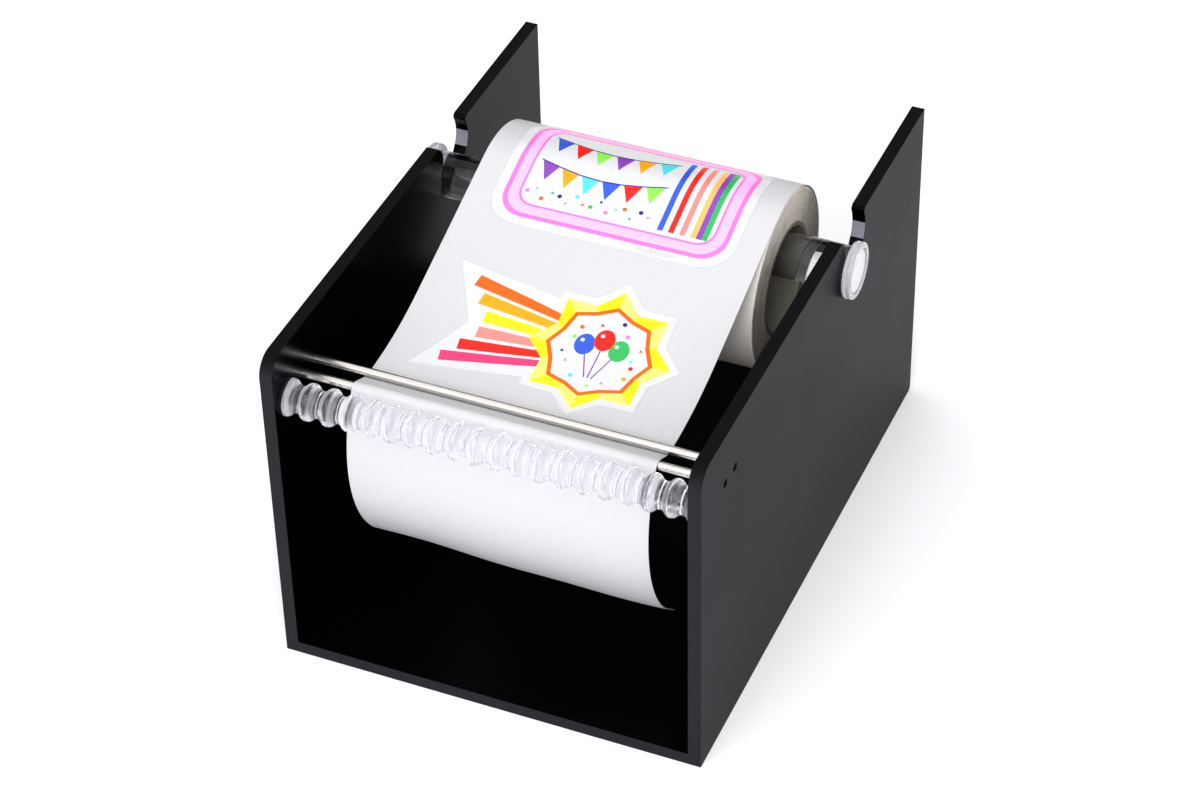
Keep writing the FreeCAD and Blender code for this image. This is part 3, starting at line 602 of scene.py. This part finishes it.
def tag_art():
    """Rounded tag: pink frame, a string of pennants over confetti, and a striped end."""
    art = [("stock_white", round_corners(TAG_LENGTH, TAG_HEIGHT, TAG_CORNER))]
    for ink, inset in (("ink_pink", 3.5), ("ink_pale_pink", 5.3), ("ink_pink", 9.0), ("stock_white", 9.9)):
        corner = TAG_CORNER - inset * 0.6
        art.append((ink, round_corners(TAG_LENGTH - 2 * inset, TAG_HEIGHT - 2 * inset, corner)))

    stripes = ["ink_blue", "stock_white", "ink_red", "stock_white", "ink_salmon", "stock_white",
               "ink_peach", "ink_purple", "ink_green"]
    wide = (STRIPES_RIGHT - STRIPES_LEFT) / len(stripes)
    for n, ink in enumerate(stripes):
        at = STRIPES_LEFT + (n + 0.5) * wide
        art.append((ink, band((at, -STRIPES_REACH), (at, STRIPES_REACH), wide)))

    pennants = ["ink_blue", "ink_red", "ink_lime", "ink_purple", "ink_amber", "ink_teal"]
    for row, top in enumerate((15.0, 0.5)):
        for n in range(len(pennants)):
            first, last = (STRING_LEFT + PENNANT_STEP * n, STRING_LEFT + PENNANT_STEP * (n + 1))
            start, stop = (top - STRING_SAG * math.sin(math.pi * (x - STRING_LEFT) / STRING_LENGTH)
                           for x in (first, last))
            tip = ((first + last) / 2, (start + stop) / 2 - PENNANT_DEPTH)
            ink = pennants[(n + 3 * row) % len(pennants)]
            art.append((ink, [(first + PENNANT_GAP, start), tip, (last - PENNANT_GAP, stop)]))
            art.append(("ink_navy", band((first, start), (last, stop), LINE_WIDTH)))
    dots = ["ink_pink", "ink_teal", "ink_orange", "ink_green", "ink_navy"]
    for n in range(16):
        spot = (STRING_LEFT + 3.2 * n, -14.5 + 2.2 * math.sin(2.3 * n))
        inner = 0.4 if n % 2 else None
        art.append((dots[n % len(dots)], ring(spot, CONFETTI_REACH, 10, inner=inner, turn=n)))
    return art


def label(name, number, art):
    """Printed label on the liner; where shapes overlap, the one drawn last is seen."""
    middle = rear_rod_run - LABEL_LEAD - number * LABEL_PITCH
    points, shapes, lines = [], [], []
    for _, outline in art:
        area = sum(a[0] * b[1] - b[0] * a[1] for a, b in zip(outline, outline[1:] + outline[:1]))
        ordered = outline if area > 0 else outline[::-1]
        shapes.append(list(range(len(points), len(points) + len(ordered))))
        points += ordered
    reach = max(abs(value) for point in points for value in point) * MM
    for row in path_rows(middle - reach, middle + reach):
        height = (middle - row) / MM
        lines.append((len(points), len(points) + 1))
        points += [(-TAG_LENGTH, height), (TAG_LENGTH, height)]
    made = delaunay_2d_cdt([Vector(point) for point in points], lines, shapes, 0, SNAP)
    spots, triangles, sources = made[0], made[2], made[5]
    names = list(INKS)
    faces, inks = [], []
    for triangle, source in zip(triangles, sources):
        if source:
            faces.append(list(triangle))
            inks.append(names.index(art[max(source)][0]))
    kept = sorted({n for face in faces for n in face})
    number_of = {old: new for new, old in enumerate(kept)}
    faces = [[number_of[n] for n in face] for face in faces]
    flat = [(spots[n].x * MM, middle - spots[n].y * MM) for n in kept]
    low = half_web + LABEL_GLUE
    sheet = paper_sheet(name + "_print", flat, faces, low, low + LABEL_THICKNESS, ink_materials, inks)
    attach(sheet, "root")
    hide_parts(name)
    return sheet


# Camera, light and floor

def add_camera():
    """Camera as fitted to the photograph: its place, angles and focal length."""
    back = Vector((
        math.sin(CAMERA_AZIMUTH) * math.cos(CAMERA_ELEVATION),
        -math.cos(CAMERA_AZIMUTH) * math.cos(CAMERA_ELEVATION),
        math.sin(CAMERA_ELEVATION),
    ))
    level_right = (-back).cross(Vector((0, 0, 1))).normalized()
    level_up = level_right.cross(-back)
    right = level_right * math.cos(CAMERA_ROLL) + level_up * math.sin(CAMERA_ROLL)
    up = level_up * math.cos(CAMERA_ROLL) - level_right * math.sin(CAMERA_ROLL)
    data = bpy.data.cameras.new("camera")
    data.sensor_width = SENSOR_MM
    data.lens = FOCAL_PIXELS * SENSOR_MM / FRAME_PIXELS
    camera = bpy.data.objects.new("camera", data)
    turned = Matrix((right, up, back)).transposed().to_4x4()
    camera.matrix_world = Matrix.Translation(CAMERA_PLACE) @ turned
    bpy.context.scene.collection.objects.link(camera)
    bpy.context.scene.camera = camera


def softbox(name, place, wide, high, power):
    """Rectangular white soft light that faces the middle of the stand."""
    data = bpy.data.lights.new(name, "AREA")
    data.shape, data.size, data.size_y, data.energy = "RECTANGLE", wide, high, power
    light = bpy.data.objects.new(name, data)
    turned = (LIGHT_AIM - Vector(place)).to_track_quat("-Z", "Y").to_matrix().to_4x4()
    light.matrix_world = Matrix.Translation(place) @ turned
    bpy.context.scene.collection.objects.link(light)


def studio():
    """White walls up to a dark ceiling, five soft lights, and a pale floor."""
    world = bpy.data.worlds.new("studio")
    world.use_nodes = True
    tree = world.node_tree
    direction = add_node(tree, "SeparateXYZ", {0: add_node(tree, "TexCoord").outputs["Generated"]})
    ceiling = add_node(tree, "MapRange", {0: direction.outputs[2], 1: 0.2, 2: 0.42})
    walls = add_node(tree, "Mix", {
        0: ceiling.outputs[0], 6: linear("#d8d8da"), 7: linear("#404042")}, data_type="RGBA")
    tree.links.new(walls.outputs[2], tree.nodes["Background"].inputs["Color"])
    bpy.context.scene.world = world
    bpy.context.scene.view_settings.view_transform = "Standard"
    bpy.context.scene.view_settings.look = "High Contrast"
    bpy.context.scene.view_settings.exposure = 0.25
    softbox("overhead_softbox", (-0.3, -0.1, 1.5), 3.0, 2.6, 17)
    softbox("front_softbox", (-0.9, -1.9, 1.15), 1.6, 1.2, 4)
    softbox("high_softbox", (0.2, -1.0, 1.9), 1.0, 1.0, 7)
    softbox("viewer_softbox", (0.5, -1.5, 1.1), 0.8, 0.8, 10)
    softbox("right_softbox", (1.6, -0.2, 1.1), 1.2, 1.2, 5)

    material, tree, shader = start_material("painted_studio_floor", "#f6f6f8", Roughness=0.9)
    place = add_node(tree, "TexCoord").outputs["Object"]
    clouds = add_node(tree, "TexNoise", {"Vector": place, "Scale": 1.5, "Detail": 2.0})
    colour = add_node(tree, "Mix", {
        0: clouds.outputs[0], 6: linear("#f5f5f7"), 7: linear("#f8f8fa")}, data_type="RGBA")
    tree.links.new(colour.outputs[2], shader.inputs["Base Color"])
    mesh = bpy.data.meshes.new("floor")
    corners = [(FLOOR_REACH * x, FLOOR_REACH * y, 0) for x, y in ((-1, -1), (1, -1), (1, 1), (-1, 1))]
    mesh.from_pydata(corners, [], [(0, 1, 2, 3)])
    mesh.materials.append(material)
    floor = bpy.data.objects.new("floor", mesh)
    bpy.context.scene.collection.objects.link(floor)


add_camera()
studio()

glazed_liner = coated_paper("glazed_liner_paper", "#d8d8da", "#d3d3d6", 0.34, 0.46, 0.2)
ink_materials = [coated_paper(name, colour, colour, 0.22, 0.30) for name, colour in INKS.items()]
side_acrylic = black_cast_acrylic("black_cast_acrylic_sides", 0)
base_acrylic = black_cast_acrylic("black_cast_acrylic_base", 2)
stainless = polished_stainless()
roller_acrylic = clear_acrylic("turned_clear_acrylic_roller", 0.22, 0.35, 1.0, 0.84, (0.25, 0.75))
rod_acrylic = clear_acrylic("turned_clear_acrylic_rod", 0.03, 0.5, 1.0, 0.1)
ring_acrylic = clear_acrylic("turned_clear_acrylic_rings", 0.08, 0.2, 0.7, 0.6)

FINISHES = {
    side_acrylic: ["left_side_panel", "right_side_panel"],
    base_acrylic: ["base_panel"],
    stainless: ["rear_guide_rod", "front_peel_rod"],
    roller_acrylic: ["bead_roller"],
    rod_acrylic: ["spool_rod"],
    ring_acrylic: ["left_flange_ring", "right_flange_ring"],
    core_board(): ["roll_core"],
    wound_label_stock(): ["label_roll"],
}
for finish, nodes in FINISHES.items():
    for node in nodes:
        dress(node, finish)

liner()
label("star_label_front", 0, star_art())
label("tag_label", 1, tag_art())
label("star_label_rear", 2, star_art())
